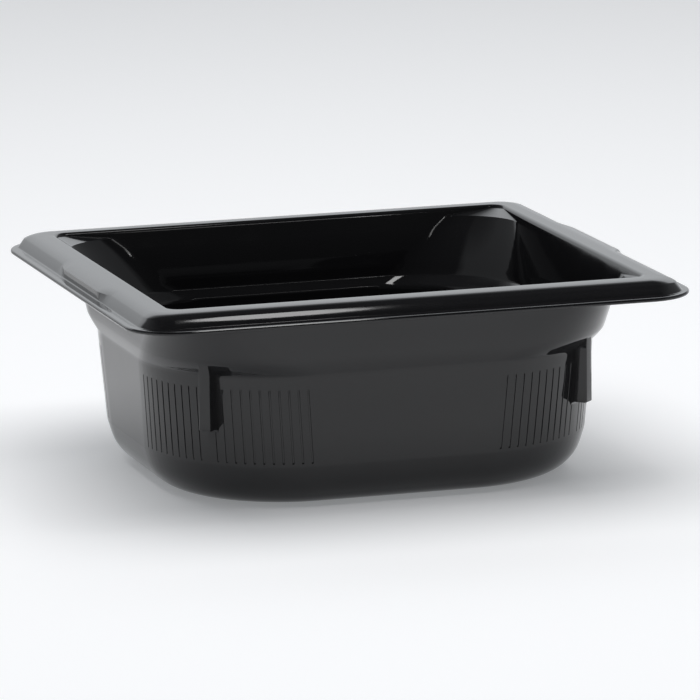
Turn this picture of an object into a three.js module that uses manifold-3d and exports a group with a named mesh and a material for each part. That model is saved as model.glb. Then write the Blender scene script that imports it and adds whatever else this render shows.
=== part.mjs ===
// Food pan, 1/6 gastronorm size, 65 mm deep: one injection-moulded plastic shell.
// Millimetres, +Z up. The origin is at the centre of the flat base, +X runs along the longer side.
import * as THREE from 'three';
import { mergeVertices } from 'three/addons/utils/BufferGeometryUtils.js';
import Module from 'manifold-3d';

// ---- Driving dimensions ----
const LENGTH = 176;              // over the lip, along X
const WIDTH = 162;               // over the lip, along Y
const HEIGHT = 65;               // base to the crest of the rim
const WALL = 2.2;                // wall thickness
const FLOOR = 2.4;               // base thickness

const LIP_RADIUS = 16;           // corner radius of the lip, seen from above
const LIP_UNDERSIDE = 59.5;      // the flat underside that hangs on a counter's rails
const TAB_HALF = 19;             // half length of the straight part of a side tab
const TAB_RAMP = 10;             // length of each slanted end of a side tab
const TAB_OFFSET = 5;            // the right tab sits this far back, the left tab this far forward
const TAB_REACH = 1.8;           // how far a side tab stands out past the rim

const BODY_RADIUS = 44.2;        // corner radius of the lower body
const BODY_INSET = 16.53;        // lip to the lower wall, at the shoulder
const SHOULDER = 41.4;           // height of the stacking shoulder's lower edge
const DRAFT = 0.074;             // the lower wall leans in by this much for each mm down
const BASE_FILLET = 13.5;        // rounded edge between the lower wall and the base
const UPPER_INSET = 15.2;        // lip to the flat part of the upper wall

const LUG_WIDTH = 3.8;           // stacking lugs, one on each corner
const LUG_ANGLE = 45.5;          // degrees from the X axis round the corner to a lug
const LUG_RADIUS = 47.8;         // corner centre to a lug's outer face
const LUG_BOTTOM = 25;
const LUG_TOP = 44.7;

const GROOVES = 22;              // fine upright grip grooves on each lower corner
const GROOVE_FIRST = 5.625;      // degrees, first and last groove
const GROOVE_LAST = 84.375;
const GROOVE_BOTTOM = 14.5;
const GROOVE_TOP = 37;
const GROOVE_WIDTH = 0.8;
const GROOVE_DEPTH = 0.35;

const ARC_STEPS = 12;            // facets in each corner
const FILLET_STEPS = 6;          // facets round the base edge

const HALF_X = LENGTH / 2;
const HALF_Y = WIDTH / 2;

const material = new THREE.MeshStandardMaterial({ color: 0x08080a, roughness: 0.12, metalness: 0 });

// ---- Sections: height, distance in from the lip, corner radius, and share of the tab's reach ----
const section = (z, inset, radius, tab = 0) => ({ z, inset, radius, tab });
const lipSection = (z, inset, tab = 0) => section(z, inset, LIP_RADIUS - inset, tab);
const wallInset = (z) => BODY_INSET + (SHOULDER - z) * DRAFT;

function baseFillet(bottom, startInset, radius, corner) {
  const sections = [];
  for (let i = 0; i <= FILLET_STEPS; i += 1) {
    const angle = (Math.PI / 2) * (1 - i / FILLET_STEPS);
    const inwards = radius * (1 - Math.cos(angle));
    const z = bottom + radius * (1 - Math.sin(angle));
    sections.push(section(z, startInset + inwards, corner - inwards));
  }
  return sections;
}

// From the base up the outside to the lip, over the rim, and down the inside to the floor.
const outside = [
  ...baseFillet(0, wallInset(BASE_FILLET), BASE_FILLET, BODY_RADIUS),
  section(SHOULDER, BODY_INSET, BODY_RADIUS),
  section(42, 16.25, 43.1),
  section(43, 15.9, 41.5),
  section(44.5, 15.5, 39.4),
  section(46, UPPER_INSET, 37.6),
  section(50, UPPER_INSET, 33.6),
  section(55.5, UPPER_INSET, 27.7),
  section(57, 15, 25.6),
  section(58.2, 14.5, 22),
  section(59.5, 13.8, 17),
  section(60.8, 12.9, 11),
];
const underRim = [
  section(62.2, 11.9, 5),
  section(62.7, 11.2, 4.2),
  section(62.7, 9.5, 4.5),
  lipSection(62.2, 7.2),
  lipSection(61.2, 6),
  lipSection(LIP_UNDERSIDE, 5.2),
];
const rim = [
  lipSection(LIP_UNDERSIDE, 0.5),
  lipSection(59.9, 0),
  lipSection(60.4, 0),
  lipSection(60.7, 0.5),
  section(61, 3, 9.5, 0.1),
  section(61.2, 3.4, 9, 0.1),
  section(63.4, 4.9, 7.8, 1),
  section(64, 6.1, 7.2, 0.75),
  section(64.6, 7.6, 6.4, 0.45),
  section(HEIGHT, 10, 5.5),
  section(HEIGHT, 12.8, 4.5),
];
const innerRadius = 11.3;
const innerInset = (z) => wallInset(z) + WALL + 0.1;
const inside = [
  section(64.7, 13.6, 4.5),
  section(63.9, 14, 4.6),
  section(62.3, 14.5, 18.4),
  section(60.6, 15, 20.2),
  section(57.6, 15.8, 23.3),
  section(54, 16.6, 27.1),
  section(50, 17.1, 31.2),
  section(46.4, 17.4, 35),
  section(45.2, 17.6, 36.4),
  section(43.9, 18.15, 38.2),
  section(42.6, 18.6, 40.2),
  section(41.4, 18.83, BODY_RADIUS - WALL),
  ...baseFillet(FLOOR, innerInset(FLOOR + innerRadius), innerRadius, BODY_RADIUS - WALL).reverse(),
];

// ---- Rings and the shell lofted through them ----
function arcPoints(centreX, centreY, radius, startDegrees, z) {
  const points = [];
  for (let i = 0; i <= ARC_STEPS; i += 1) {
    const angle = THREE.MathUtils.degToRad(startDegrees + (90 * i) / ARC_STEPS);
    points.push([centreX + radius * Math.cos(angle), centreY + radius * Math.sin(angle), z]);
  }
  return points;
}

function tabSide(x, side, reach, z) {
  const steps = [
    [-TAB_HALF - TAB_RAMP, 0],
    [-TAB_HALF, reach],
    [TAB_HALF, reach],
    [TAB_HALF + TAB_RAMP, 0],
  ];
  return steps.map(([along, out]) => [side * (x + out), side * (along + TAB_OFFSET), z]);
}

// The straight part of a ring may be shorter than the tab, so the tab's points close up to fit it.
function fitTab(points, limit) {
  const scale = Math.min(1, limit / (TAB_HALF + TAB_RAMP + TAB_OFFSET));
  return points.map(([x, y, z]) => [x, y * scale, z]);
}

function ring({ z, inset, radius, tab }) {
  const x = HALF_X - inset;
  const y = HALF_Y - inset;
  const cx = x - radius;
  const cy = y - radius;
  const limit = cy - 0.5;
  return [
    ...fitTab(tabSide(x, 1, tab * TAB_REACH, z), limit),
    ...arcPoints(cx, cy, radius, 0, z),
    ...arcPoints(-cx, cy, radius, 90, z),
    ...fitTab(tabSide(x, -1, tab * TAB_REACH, z), limit),
    ...arcPoints(-cx, -cy, radius, 180, z),
    ...arcPoints(cx, -cy, radius, 270, z),
  ];
}

function loft(sections) {
  const rings = sections.map(ring);
  const count = rings[0].length;
  const positions = rings.flat(2);
  const floorBelow = positions.length / 3;
  positions.push(0, 0, sections[0].z);
  positions.push(0, 0, sections[sections.length - 1].z);
  const index = [];
  for (let i = 0; i < count; i += 1) {
    const next = (i + 1) % count;
    index.push(floorBelow, next, i);
    for (let level = 0; level < rings.length - 1; level += 1) {
      const low = level * count;
      const high = low + count;
      index.push(low + i, low + next, high + next);
      index.push(low + i, high + next, high + i);
    }
    const last = (rings.length - 1) * count;
    index.push(floorBelow + 1, last + i, last + next);
  }
  const geometry = new THREE.BufferGeometry();
  geometry.setAttribute('position', new THREE.Float32BufferAttribute(positions, 3));
  geometry.setIndex(index);
  return geometry;
}

// ---- Lugs and grooves on the lower corners ----
const corners = [[1, 1], [-1, 1], [-1, -1], [1, -1]];

// An upright slice: a profile in (outwards, up), given some thickness and turned to a corner angle.
function slice(profile, thickness, [signX, signY], degrees, centre) {
  const shape = new THREE.Shape(profile.map(([out, up]) => new THREE.Vector2(out, up)));
  const geometry = new THREE.ExtrudeGeometry(shape, { depth: thickness, bevelEnabled: false });
  geometry.translate(0, 0, -thickness / 2);
  geometry.rotateX(Math.PI / 2);
  const radians = THREE.MathUtils.degToRad(degrees);
  geometry.rotateZ(Math.atan2(signY * Math.sin(radians), signX * Math.cos(radians)));
  geometry.translate(signX * centre[0], signY * centre[1], 0);
  return geometry;
}

const cornerCentre = (z) => [
  HALF_X - wallInset(z) - BODY_RADIUS,
  HALF_Y - wallInset(z) - BODY_RADIUS,
];

function stackingLug(corner) {
  const profile = [
    [41.5, LUG_BOTTOM],
    [LUG_RADIUS, LUG_BOTTOM],
    [LUG_RADIUS, LUG_TOP],
    [46.3, LUG_TOP],
    [43, 40],
  ];
  return slice(profile, LUG_WIDTH, corner, LUG_ANGLE, cornerCentre(SHOULDER));
}

// A groove leans with the wall, so its lower end is further in than its upper end.
function gripGroove(corner, degrees) {
  const radians = THREE.MathUtils.degToRad(degrees);
  const lean = (Math.cos(radians) + Math.sin(radians)) * DRAFT * (GROOVE_TOP - GROOVE_BOTTOM);
  const bed = BODY_RADIUS - GROOVE_DEPTH;
  const clear = BODY_RADIUS + 2;
  const profile = [
    [bed - lean, GROOVE_BOTTOM],
    [clear - lean, GROOVE_BOTTOM],
    [clear, GROOVE_TOP],
    [bed, GROOVE_TOP],
  ];
  return slice(profile, GROOVE_WIDTH, corner, degrees, cornerCentre(GROOVE_TOP));
}

// ---- Joining ----
const wasm = await Module();
wasm.setup();

function solid(geometry) {
  const bare = geometry.clone();
  bare.deleteAttribute('normal');
  bare.deleteAttribute('uv');
  const merged = mergeVertices(bare, 1e-4);
  const vertProperties = new Float32Array(merged.attributes.position.array);
  const triVerts = new Uint32Array(merged.index.array);
  return new wasm.Manifold(new wasm.Mesh({ numProp: 3, vertProperties, triVerts }));
}

function toGeometry(manifold) {
  const mesh = manifold.getMesh();
  const geometry = new THREE.BufferGeometry();
  geometry.setAttribute('position', new THREE.BufferAttribute(mesh.vertProperties, 3));
  geometry.setIndex(new THREE.BufferAttribute(mesh.triVerts, 1));
  geometry.computeVertexNormals();
  return geometry;
}

let pan = solid(loft([...outside, ...underRim, ...rim, ...inside]));
for (const corner of corners) {
  for (let i = 0; i < GROOVES; i += 1) {
    const degrees = GROOVE_FIRST + ((GROOVE_LAST - GROOVE_FIRST) * i) / (GROOVES - 1);
    pan = pan.subtract(solid(gripGroove(corner, degrees)));
  }
  pan = pan.add(solid(stackingLug(corner)));
}

const foodPan = new THREE.Group();
const panMesh = new THREE.Mesh(toGeometry(pan), material);
panMesh.name = 'pan_body';
foodPan.add(panMesh);

export default foodPan;
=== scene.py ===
"""Deli food pan: one glossy black moulding, 1/6 gastronorm size, on a pale studio floor.

The pan's surface is one closed loft. A cross-section path runs from the centre of the underside, out
and up the outer wall, round the lip, over the rim, down the inner wall and in to the centre of the
floor. Each point of the path becomes a ring: a rounded rectangle seen from above.
Lengths in this file are millimetres until the mesh is made.
"""

import math
from dataclasses import dataclass

import bpy
import numpy as np
from mathutils import Matrix, Vector


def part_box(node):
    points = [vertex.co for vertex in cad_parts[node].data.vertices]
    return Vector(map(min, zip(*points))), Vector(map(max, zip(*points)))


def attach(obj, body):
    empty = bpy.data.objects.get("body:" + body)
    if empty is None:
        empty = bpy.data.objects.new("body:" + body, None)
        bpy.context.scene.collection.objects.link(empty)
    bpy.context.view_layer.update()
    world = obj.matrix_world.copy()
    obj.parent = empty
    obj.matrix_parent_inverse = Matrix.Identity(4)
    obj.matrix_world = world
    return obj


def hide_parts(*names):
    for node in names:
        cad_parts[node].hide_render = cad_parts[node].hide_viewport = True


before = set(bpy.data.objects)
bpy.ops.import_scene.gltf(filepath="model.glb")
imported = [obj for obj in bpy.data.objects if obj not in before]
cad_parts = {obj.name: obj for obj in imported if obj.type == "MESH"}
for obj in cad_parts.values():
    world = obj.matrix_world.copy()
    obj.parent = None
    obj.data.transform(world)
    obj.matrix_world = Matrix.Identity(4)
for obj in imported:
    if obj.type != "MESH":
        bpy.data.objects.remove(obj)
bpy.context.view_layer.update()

MM = 0.001
NODE = "pan_body"

# ---- Overall size, from the part's box in model.glb ----
low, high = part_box(NODE)
HALF_X = (high.x - low.x) / 2 / MM
HALF_Y = (high.y - low.y) / 2 / MM
HEIGHT = (high.z - low.z) / MM

# ---- Wall and floor ----
WALL = 2.2
FLOOR = 2.4

# ---- Lip and rim: heights below the crest, and distances in from the lip's edge ----
LIP_UNDERSIDE = HEIGHT - 5.5
LIP_THICKNESS = 1.3
LIP_RADIUS = 16.0
LIP_PLATE = 2.8
LIP_FLAT_EDGE = 1.6
STEP_INSET = 4.5
STEP_CORNER = 8.0
STEP_FILLET = 0.6
CROWN_RADIUS = 9.0
CREST_OUTER = 9.97
CREST_INNER = 12.8
CREST_CORNER = 5.5
MOUTH_EDGE = 1.3
MOUTH_CORNER = 4.5
MOUTH_SLOPE = 15.5
MOUTH_FOOT = 57.6
FACET_FOOT = 62.3

# ---- Hollow underside of the rim ----
HOLLOW_CEILING = HEIGHT - 2.3
HOLLOW_EDGE = 5.2
HOLLOW_RISE = 1.4
HOLLOW_OUTER_REACH = 3.2
HOLLOW_INNER_REACH = 4.2
HOLLOW_CORNER_CLOSE = 20.5

# ---- Side tabs: the rim swells out in the middle of the two short sides ----
TAB_REACH = 1.8
TAB_HALF = 19.0
TAB_RAMP = 9.0
TAB_OFFSET = 5.0

# ---- Body ----
UPPER_INSET = 15.2
UPPER_CORNER = 37.6
UPPER_TOP = 55.6
UPPER_TOP_CORNER = 27.6
CONE_SLOPE = 1.04
SHOULDER_TOP = 46.0
SHOULDER_FOOT = 41.4
BODY_INSET = 16.53
BODY_CORNER = 44.2
DRAFT = 0.074
BASE_FILLET = 13.0
BASE_CREASE = 13.2
BASE_CREASE_INSET = 0.5
INNER_FILLET = 11.3
INNER_WALL = 2.3

# ---- Grip grooves on the lower corners ----
GROOVES = 22
GROOVE_PITCH = 90 / (GROOVES + 2)
GROOVE_BOTTOM = 14.5
GROOVE_TOP = 37.0
GROOVE_DEPTH = 0.22
GROOVE_MOUTH = 0.42
GROOVE_BED = 0.31

# ---- Raised lugs, one on each corner ----
LUG_START = 42.2
LUG_END = 46.8
LUG_RADIUS = 47.8
LUG_BOTTOM = 24.8
LUG_FILLET = 1.5
LUG_ROUND = 0.35

SIDE_STEPS = 120
FRONT_STEPS = 44


@dataclass
class Section:
    """One point of the cross-section path, and how the ring through it is shaped."""

    inset: float
    z: float
    corner: float
    tab: float = 0.0
    groove: float = 0.0
    lug: float = 0.0


def wall_inset(z):
    return BODY_INSET + (SHOULDER_FOOT - z) * DRAFT


def outer_corner(z):
    """Corner radius of the outer wall: constant below the shoulder, then closing to the rim."""
    if z <= SHOULDER_FOOT:
        return BODY_CORNER
    drop = SHOULDER_TOP - z
    cone = UPPER_CORNER + CONE_SLOPE * drop
    if drop <= 0:
        return cone
    full = SHOULDER_TOP - SHOULDER_FOOT
    rest = BODY_CORNER - UPPER_CORNER - CONE_SLOPE * full
    return cone + rest * (drop / full) ** 2


def outer_inset(z):
    """Distance in from the lip to the flat parts of the outer wall."""
    if z <= SHOULDER_FOOT:
        return wall_inset(z)
    share = max(0.0, (SHOULDER_TOP - z) / (SHOULDER_TOP - SHOULDER_FOOT))
    return UPPER_INSET + (BODY_INSET - UPPER_INSET) * share ** 1.2


def arc(steps, start, end):
    """Angles in radians from start to end degrees, both ends included."""
    return [math.radians(start + (end - start) * i / steps) for i in range(steps + 1)]


def lug_depth(z):
    """How far a lug stands out of the lower corner at its own angle, for a vertical outer face."""
    centre_shift = (outer_inset(z) + outer_corner(z)) - (BODY_INSET + BODY_CORNER)
    return max(0.0, centre_shift * math.sqrt(2) + LUG_RADIUS - outer_corner(z))


def base_sections(bottom, start, radius, corner, steps, end=90):
    """From the flat bottom round a fillet to the foot of a wall. start is the wall's inset there."""
    sections = []
    for angle in arc(steps, 0, end):
        inwards = radius * (1 - math.sin(angle))
        z = bottom + radius * (1 - math.cos(angle))
        sections.append(Section(start + inwards, z, corner - inwards))
    return sections


def lower_wall_sections():
    sections = []

    def add(z, groove, lug=0.0):
        sections.append(Section(wall_inset(z), z, BODY_CORNER, groove=groove, lug=lug))

    for z in (BASE_CREASE, BASE_CREASE + 0.2, GROOVE_BOTTOM - 0.3):
        add(z, 0)
    add(GROOVE_BOTTOM + 0.1, 1)
    add(19.0, 1)
    for angle in arc(4, 0, 90):
        z = LUG_BOTTOM - LUG_FILLET * (1 - math.sin(angle))
        add(z, 1, LUG_FILLET * (1 - math.cos(angle)))
    full = lug_depth(LUG_BOTTOM + LUG_ROUND)
    for angle in arc(3, 0, 90):
        z = LUG_BOTTOM + 0.02 + LUG_ROUND * (1 - math.cos(angle))
        add(z, 1, full - LUG_ROUND * (1 - math.sin(angle)))
    for z in (29.0, 33.0, GROOVE_TOP - 0.2):
        add(z, 1, lug_depth(z))
    for z in (GROOVE_TOP + 0.2, 38.6, 40.3, SHOULDER_FOOT - 0.25):
        add(z, 0, lug_depth(z))
    return sections


def shoulder_sections():
    heights = (SHOULDER_FOOT + 0.25, 42.1, 42.7, 43.3, 43.8, 44.2, 44.6, 45.2, 46.0)
    return [Section(outer_inset(z), z, outer_corner(z), lug=lug_depth(z)) for z in heights]


def upper_wall_sections():
    return [Section(UPPER_INSET, z, outer_corner(z)) for z in (48.0, 51.0, 54.0)]


def under_rim_sections():
    """Up inside the hollow underside of the rim, and down to the lip's underside."""
    sections = []
    for angle in arc(7, 0, 90):
        inset = UPPER_INSET - HOLLOW_INNER_REACH * (1 - math.cos(angle))
        z = UPPER_TOP + (HOLLOW_CEILING - UPPER_TOP) * math.sin(angle)
        corner = UPPER_TOP_CORNER - HOLLOW_CORNER_CLOSE * math.sin(angle) ** 1.5
        sections.append(Section(inset, z, corner))
    for angle in arc(4, 90, 0):
        inset = HOLLOW_EDGE + HOLLOW_OUTER_REACH * (1 - math.cos(angle))
        z = LIP_UNDERSIDE + HOLLOW_RISE
        z += (HOLLOW_CEILING - LIP_UNDERSIDE - HOLLOW_RISE) * math.sin(angle)
        sections.append(Section(inset, z, LIP_RADIUS - inset))
    sections.append(Section(HOLLOW_EDGE, LIP_UNDERSIDE, LIP_RADIUS - HOLLOW_EDGE))
    return sections


def lip_sections():
    radius = LIP_THICKNESS / 2
    sections = []
    for angle in arc(6, 0, 180):
        inset = radius * (1 - math.sin(angle))
        z = LIP_UNDERSIDE + radius * (1 - math.cos(angle))
        sections.append(Section(inset, z, LIP_RADIUS - inset))
    return sections


def step_and_crown_sections():
    lip_top = LIP_UNDERSIDE + LIP_THICKNESS
    sections = [Section(LIP_FLAT_EDGE, lip_top + 0.02, LIP_RADIUS - LIP_FLAT_EDGE)]
    for angle in arc(4, 0, 54):
        inset = LIP_PLATE + STEP_FILLET * math.sin(angle)
        z = lip_top + 0.05 + STEP_FILLET * (1 - math.cos(angle))
        sections.append(Section(inset, z, STEP_CORNER + STEP_INSET - inset, tab=0.1))
    for angle in arc(9, 34, 0):
        inset = CREST_OUTER - CROWN_RADIUS * math.sin(angle)
        z = HEIGHT - CROWN_RADIUS * (1 - math.cos(angle))
        share = (CREST_OUTER - inset) / (CREST_OUTER - STEP_INSET)
        corner = CREST_CORNER + (STEP_CORNER - CREST_CORNER) * share
        sections.append(Section(inset, z, corner, tab=share))
    return sections


def mouth_sections():
    """The crest's inner edge, then the slopes that turn the square mouth into the rounded wall."""
    sections = []
    for angle in arc(5, 0, 90 - MOUTH_SLOPE):
        inset = CREST_INNER + MOUTH_EDGE * math.sin(angle)
        z = HEIGHT - MOUTH_EDGE * (1 - math.cos(angle))
        sections.append(Section(inset, z, MOUTH_CORNER))
    top = sections[-1]
    lean = math.tan(math.radians(MOUTH_SLOPE))
    facet_corner = outer_corner(FACET_FOOT) - WALL
    steps = 5
    for step in range(1, steps + 1):
        share = step / steps
        z = top.z + (FACET_FOOT - top.z) * share
        corner = top.corner + (facet_corner - top.corner) * share
        sections.append(Section(top.inset + (top.z - z) * lean, z, corner))
    for z in (FACET_FOOT - 0.3, 60.6, 59.2, MOUTH_FOOT):
        sections.append(Section(top.inset + (top.z - z) * lean, z, outer_corner(z) - WALL))
    return sections


def inner_wall_sections():
    """From the foot of the mouth down the inner wall, eased outwards behind the shoulder."""
    sections = []
    start = mouth_sections()[-1].inset
    upper = UPPER_INSET + WALL
    upper_foot = 47.0
    ease_top = 44.9
    ease_foot = 42.0
    lower_top = 39.8
    for z in (56.0, 54.0, 50.0, upper_foot):
        share = (MOUTH_FOOT - z) / (MOUTH_FOOT - upper_foot)
        inset = start + (upper - start) * (1 - (1 - share) ** 1.6)
        sections.append(Section(inset, z, outer_corner(z) - WALL))
    for z in (45.2, 44.8, 44.5, 43.9, 43.3, 42.7, 42.2, 41.8, 41.0, lower_top):
        share = min(1.0, max(0.0, (ease_top - z) / (ease_top - ease_foot)))
        inset = upper + (wall_inset(lower_top) + INNER_WALL - upper) * share
        sections.append(Section(inset, z, outer_corner(z) - WALL))
    for z in (33.0, 26.0, 19.0):
        sections.append(Section(wall_inset(z) + INNER_WALL, z, BODY_CORNER - WALL))
    return sections


def pan_sections():
    outer_foot = wall_inset(BASE_CREASE) + BASE_CREASE_INSET
    inner_foot = wall_inset(FLOOR + INNER_FILLET) + INNER_WALL
    inside_base = base_sections(FLOOR, inner_foot, INNER_FILLET, BODY_CORNER - WALL, 8)
    return [
        *base_sections(0, outer_foot, BASE_FILLET, BODY_CORNER, 9, 72),
        *lower_wall_sections(),
        *shoulder_sections(),
        *upper_wall_sections(),
        *under_rim_sections(),
        *lip_sections(),
        *step_and_crown_sections(),
        *mouth_sections(),
        *inner_wall_sections(),
        *reversed(inside_base),
    ]


def corner_samples():
    """Angles round a corner, from the front or back wall's normal, with groove and lug weights."""
    angles = {}

    def put(degrees, groove=0.0, lug=0.0):
        angles[round(degrees, 4)] = (groove, lug)

    put(0)
    put(90)
    put(GROOVE_PITCH / 2)
    put(90 - GROOVE_PITCH / 2)
    for i in range(GROOVES):
        centre = GROOVE_PITCH * (1.5 + i)
        for side in (-1, 1):
            put(centre + side * GROOVE_MOUTH)
            put(centre + side * GROOVE_BED, groove=1.0)
        if i < GROOVES - 1:
            put(centre + GROOVE_PITCH / 2)
    inside = [a for a in angles if LUG_START - 0.5 < a < LUG_END + 0.5]
    for angle in inside:
        groove = angles.pop(angle)[0]
        clear = min(abs(angle - LUG_START), abs(angle - LUG_END)) > 0.5
        if clear and LUG_START < angle < LUG_END:
            angles[angle] = (groove, 1.0)
    edge = math.degrees(LUG_ROUND / LUG_RADIUS)
    for end, side in ((LUG_START, 1), (LUG_END, -1)):
        put(end - side * 0.05)
        put(end, lug=0.9)
        put(end + side * edge * 0.3, lug=0.97)
        put(end + side * edge, lug=1.0)
    degrees = sorted(angles)
    grooves = [angles[a][0] for a in degrees]
    lugs = [angles[a][1] for a in degrees]
    return np.array(degrees), np.array(grooves), np.array(lugs)


CORNER_DEGREES, CORNER_GROOVES, CORNER_LUGS = corner_samples()


def tab_profile(y):
    """Share of a side tab's reach at a distance y from the middle of the tab."""
    share = np.clip((TAB_HALF + TAB_RAMP - np.abs(y)) / TAB_RAMP, 0, 1)
    return 0.6 * share + 0.4 * share * share * (3 - 2 * share)


def ring(section):
    """The points of one ring, counter-clockwise from above, starting on the right-hand side."""
    half_x = HALF_X - section.inset
    half_y = HALF_Y - section.inset
    cx = half_x - section.corner
    cy = half_y - section.corner
    out = -GROOVE_DEPTH * section.groove * CORNER_GROOVES
    out = np.where(CORNER_LUGS > 0, section.lug * CORNER_LUGS + out * (section.lug < 0.05), out)
    radius = section.corner + out
    angle = np.radians(CORNER_DEGREES)
    across = radius * np.sin(angle)
    along = radius * np.cos(angle)
    quarter = np.stack([cx + across, cy + along], 1)
    side_y = cy * np.linspace(-1, 1, SIDE_STEPS + 2)[1:-1]
    front_x = cx * np.linspace(-1, 1, FRONT_STEPS + 2)[1:-1]
    bulge = half_x + section.tab * TAB_REACH * tab_profile(side_y - TAB_OFFSET)
    parts = [
        np.stack([bulge, side_y], 1),
        quarter[::-1],
        np.stack([-front_x, np.full_like(front_x, half_y)], 1),
        quarter * (-1, 1),
        np.stack([-bulge, -side_y], 1),
        quarter[::-1] * (-1, -1),
        np.stack([front_x, np.full_like(front_x, -half_y)], 1),
        quarter * (1, -1),
    ]
    flat = np.concatenate(parts)
    return np.column_stack([flat, np.full(len(flat), section.z)])


def build_pan():
    sections = pan_sections()
    rings = [ring(section) for section in sections]
    count = len(rings[0])
    points = np.concatenate([*rings, [[0, 0, sections[0].z]], [[0, 0, sections[-1].z]]])
    under = len(points) - 2
    floor = len(points) - 1
    index = np.arange(count)
    after = (index + 1) % count
    faces = [(under, b, a) for a, b in zip(index.tolist(), after.tolist())]
    for level in range(len(rings) - 1):
        here = level * count
        above = here + count
        quads = np.stack([here + index, here + after, above + after, above + index], 1)
        faces.extend(map(tuple, quads.tolist()))
    last = (len(rings) - 1) * count
    faces.extend((floor, last + a, last + b) for a, b in zip(index.tolist(), after.tolist()))
    mesh = bpy.data.meshes.new("food_pan")
    mesh.from_pydata((points * MM).tolist(), [], faces)
    mesh.validate()
    for polygon in mesh.polygons:
        polygon.use_smooth = True
    mesh.set_sharp_from_angle(angle=math.radians(28))
    pan = bpy.data.objects.new("food_pan", mesh)
    bpy.context.scene.collection.objects.link(pan)
    return pan


# ---- Material ----
def plastic_material():
    """Near-black moulded plastic: clear gloss, a faint waviness and slightly uneven polish."""
    material = bpy.data.materials.new("black_plastic")
    material.use_nodes = True
    nodes = material.node_tree.nodes
    links = material.node_tree.links
    shader = nodes["Principled BSDF"]
    shader.inputs["IOR"].default_value = 1.5
    shader.inputs["Metallic"].default_value = 0.0
    place = nodes.new("ShaderNodeTexCoord")

    def noise(scale, detail, roughness=0.5):
        node = nodes.new("ShaderNodeTexNoise")
        node.inputs["Scale"].default_value = scale
        node.inputs["Detail"].default_value = detail
        node.inputs["Roughness"].default_value = roughness
        links.new(place.outputs["Object"], node.inputs["Vector"])
        return node

    def ramp(source, stops):
        node = nodes.new("ShaderNodeValToRGB")
        for element, (at, colour) in zip(node.color_ramp.elements, stops):
            element.position = at
            element.color = colour
        links.new(source, node.inputs["Fac"])
        return node

    tone = ramp(noise(9, 3).outputs["Fac"], [
        (0.3, (0.0075, 0.0075, 0.0085, 1)),
        (0.7, (0.0105, 0.0105, 0.0115, 1)),
    ])
    links.new(tone.outputs["Color"], shader.inputs["Base Color"])

    polish = nodes.new("ShaderNodeMapRange")
    polish.inputs["From Min"].default_value = 0.3
    polish.inputs["From Max"].default_value = 0.75
    polish.inputs["To Min"].default_value = 0.045
    polish.inputs["To Max"].default_value = 0.1
    links.new(noise(55, 5, 0.6).outputs["Fac"], polish.inputs["Value"])
    links.new(polish.outputs["Result"], shader.inputs["Roughness"])

    bump = nodes.new("ShaderNodeBump")
    bump.inputs["Strength"].default_value = 0.12
    bump.inputs["Distance"].default_value = 0.0004
    links.new(noise(40, 2).outputs["Fac"], bump.inputs["Height"])
    links.new(bump.outputs["Normal"], shader.inputs["Normal"])
    return material


# ---- Studio ----
BACKDROP_TURN = 6.0


def build_floor():
    size = 6.0
    mesh = bpy.data.meshes.new("floor")
    corners = [(-size, -size, 0), (size, -size, 0), (size, size, 0), (-size, size, 0)]
    mesh.from_pydata(corners, [], [(0, 1, 2, 3)])
    floor = bpy.data.objects.new("floor", mesh)
    bpy.context.scene.collection.objects.link(floor)
    floor.location.z = -0.0002
    material = bpy.data.materials.new("floor_white")
    material.use_nodes = True
    shader = material.node_tree.nodes["Principled BSDF"]
    shader.inputs["Base Color"].default_value = (0.86, 0.86, 0.87, 1)
    shader.inputs["Roughness"].default_value = 0.9
    shader.inputs["Specular IOR Level"].default_value = 0.0
    shader.inputs["Emission Color"].default_value = (0.95, 0.975, 1, 1)
    shader.inputs["Emission Strength"].default_value = 0.22
    floor.data.materials.append(material)


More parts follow.
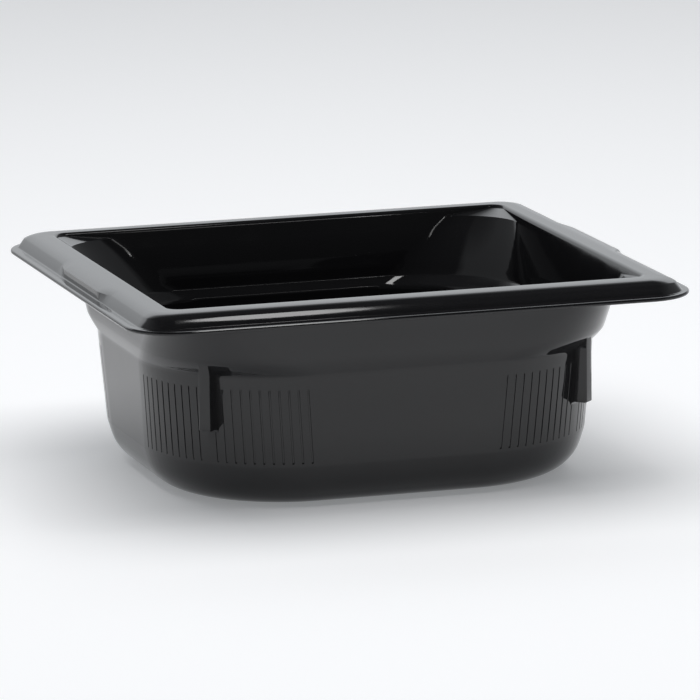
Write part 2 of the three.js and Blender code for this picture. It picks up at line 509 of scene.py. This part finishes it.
def build_world():
    """A bright backdrop behind the pan, grey walls at the sides, and darkness in front and above."""
    world = bpy.data.worlds.new("studio")
    bpy.context.scene.world = world
    world.use_nodes = True
    nodes = world.node_tree.nodes
    links = world.node_tree.links
    direction = nodes.new("ShaderNodeTexCoord")
    split = nodes.new("ShaderNodeSeparateXYZ")
    links.new(direction.outputs["Generated"], split.inputs["Vector"])

    def grey(value):
        return (0.94 * value, 0.97 * value, value, 1)

    def by_height(stops):
        node = nodes.new("ShaderNodeValToRGB")
        elements = node.color_ramp.elements
        while len(elements) < len(stops):
            elements.new(0.5)
        for element, (at, value) in zip(elements, stops):
            element.position = at
            element.color = grey(value)
        links.new(split.outputs["Z"], node.inputs["Fac"])
        return node.outputs["Color"]

    def math_node(operation, first, second=None):
        node = nodes.new("ShaderNodeMath")
        node.operation = operation
        links.new(first, node.inputs[0])
        if second is not None:
            links.new(second, node.inputs[1])
        return node

    def within(angle, start, end):
        """1 while the angle is under start, fading to 0 at end. Both are in degrees."""
        node = nodes.new("ShaderNodeMapRange")
        node.interpolation_type = "SMOOTHSTEP"
        node.inputs["From Min"].default_value = math.radians(start)
        node.inputs["From Max"].default_value = math.radians(end)
        node.inputs["To Min"].default_value = 1
        node.inputs["To Max"].default_value = 0
        links.new(angle, node.inputs["Value"])
        return node.outputs["Result"]

    def mix(factor, first, second):
        node = nodes.new("ShaderNodeMix")
        node.data_type = "RGBA"
        links.new(factor, node.inputs["Factor"])
        links.new(first, node.inputs["A"])
        links.new(second, node.inputs["B"])
        return node.outputs["Result"]

    turn = math_node("ARCTAN2", split.outputs["X"], split.outputs["Y"])
    centred = math_node("SUBTRACT", turn.outputs[0])
    centred.inputs[1].default_value = math.radians(BACKDROP_TURN)
    from_back = math_node("ABSOLUTE", centred.outputs[0]).outputs[0]
    backdrop = by_height([(0, 0.8), (0.17, 0.95), (0.4, 1.55), (0.56, 1.9), (0.66, 0.5), (0.76, 0.05)])
    sides = by_height([(0, 0.6), (0.1, 0.36), (0.3, 0.3), (0.7, 0.3), (0.93, 0.05)])
    front = by_height([(0, 0.03), (1, 0.03)])       # the same dark grey at every height
    around = mix(within(from_back, 118, 132), front, sides)
    colour = mix(within(from_back, 34, 46), around, backdrop)
    links.new(colour, nodes["Background"].inputs["Color"])
    nodes["Background"].inputs["Strength"].default_value = 1.0


def area_light(name, place, target, width, height, radiance):
    """A rectangular lamp aimed at a target. Its power follows from the radiance asked for."""
    data = bpy.data.lights.new(name, "AREA")
    data.shape = "RECTANGLE"
    data.size = width
    data.size_y = height
    data.energy = radiance * math.pi * width * height
    light = bpy.data.objects.new(name, data)
    bpy.context.scene.collection.objects.link(light)
    light.location = place
    light.rotation_euler = (Vector(target) - Vector(place)).to_track_quat("-Z", "Y").to_euler()
    return light


def build_lights():
    rim = (-0.026, -0.077, 0.062)
    streak = area_light("rim_lamp", (0.097, -0.175, 0.53), rim, 0.066, 0.07, 6.0)
    streak.data.shape = "ELLIPSE"
    ledge = (0, 0.06, 0.045)
    area_light("ledge_strip", (0.243, -0.716, 0.416), ledge, 0.12, 0.03, 2.5)
    area_light("ledge_lamp", (0.2975, -0.716, 0.416), ledge, 0.014, 0.03, 9.0)
    overhead = area_light("overhead", (0, 0, 1.2), (0, 0, 0), 1.5, 1.5, 1.9)
    overhead.visible_glossy = False


# ---- Camera: a long lens to the front left, a little above the rim ----
CAMERA_AZIMUTH = -17.45
CAMERA_ELEVATION = 11.28
CAMERA_ROLL = -0.69
CAMERA_DISTANCE = 1.915
CAMERA_LENS = 318.5
AIM_RIGHT = 0.00149
AIM_UP = 0.03436


def build_camera():
    azimuth = math.radians(CAMERA_AZIMUTH)
    elevation = math.radians(CAMERA_ELEVATION)
    roll = math.radians(CAMERA_ROLL)
    back = Vector((
        math.sin(azimuth) * math.cos(elevation),
        -math.cos(azimuth) * math.cos(elevation),
        math.sin(elevation),
    ))
    level = Vector((math.cos(azimuth), math.sin(azimuth), 0))
    upright = back.cross(level)
    right = level * math.cos(roll) + upright * math.sin(roll)
    up = upright * math.cos(roll) - level * math.sin(roll)
    place = right * AIM_RIGHT + up * AIM_UP + back * CAMERA_DISTANCE
    data = bpy.data.cameras.new("camera")
    data.lens = CAMERA_LENS
    data.sensor_width = 36
    data.clip_end = 50
    camera = bpy.data.objects.new("camera", data)
    bpy.context.scene.collection.objects.link(camera)
    turn = Matrix((right, up, back)).transposed()
    camera.matrix_world = Matrix.Translation(place) @ turn.to_4x4()
    bpy.context.scene.camera = camera


pan = build_pan()
pan.data.materials.append(plastic_material())
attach(pan, "root")
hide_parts(NODE)

build_floor()
build_world()
build_lights()
build_camera()
bpy.context.scene.view_settings.view_transform = "Standard"
